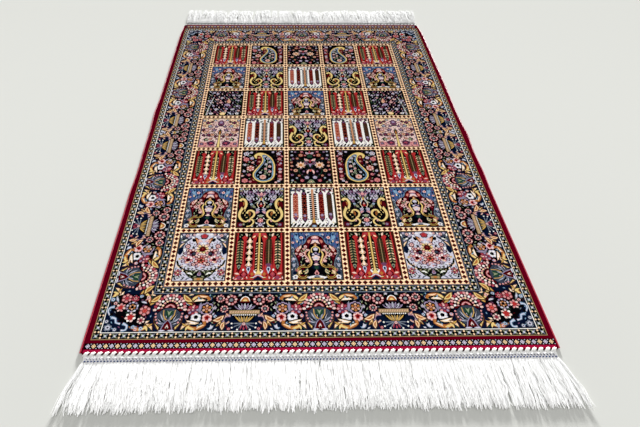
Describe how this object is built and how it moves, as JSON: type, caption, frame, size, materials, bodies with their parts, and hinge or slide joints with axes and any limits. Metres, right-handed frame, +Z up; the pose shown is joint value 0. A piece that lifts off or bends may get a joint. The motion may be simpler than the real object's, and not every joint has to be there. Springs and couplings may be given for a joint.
{
  "type": "silk rug",
  "caption": "Flat knotted silk rug with a garden-panel design, wrapped side cords, white whipped ends and a long white fringe at each end.",
  "frame": {"origin": "on the floor, under the middle of the rug", "axes": "+Z up from the floor, X across the rug, Y along it with the front end at -Y"},
  "size_m": [1.0362, 1.7512, 0.006],
  "materials": {
    "silk_pile": "short cut silk pile with a soft sheen",
    "wrapped_cord": "silk wrapped round a cord",
    "whip_stitch": "plied white thread, matt",
    "fringe_thread": "fine white warp threads, flat-woven at the root"
  },
  "bodies": {
    "root": {"knotted_pile": "silk_pile", "side_cord_left": "wrapped_cord", "side_cord_right": "wrapped_cord", "end_stitches_front": "whip_stitch", "end_stitches_back": "whip_stitch", "fringe_front": "fringe_thread", "fringe_back": "fringe_thread"}
  },
  "joints": []
}
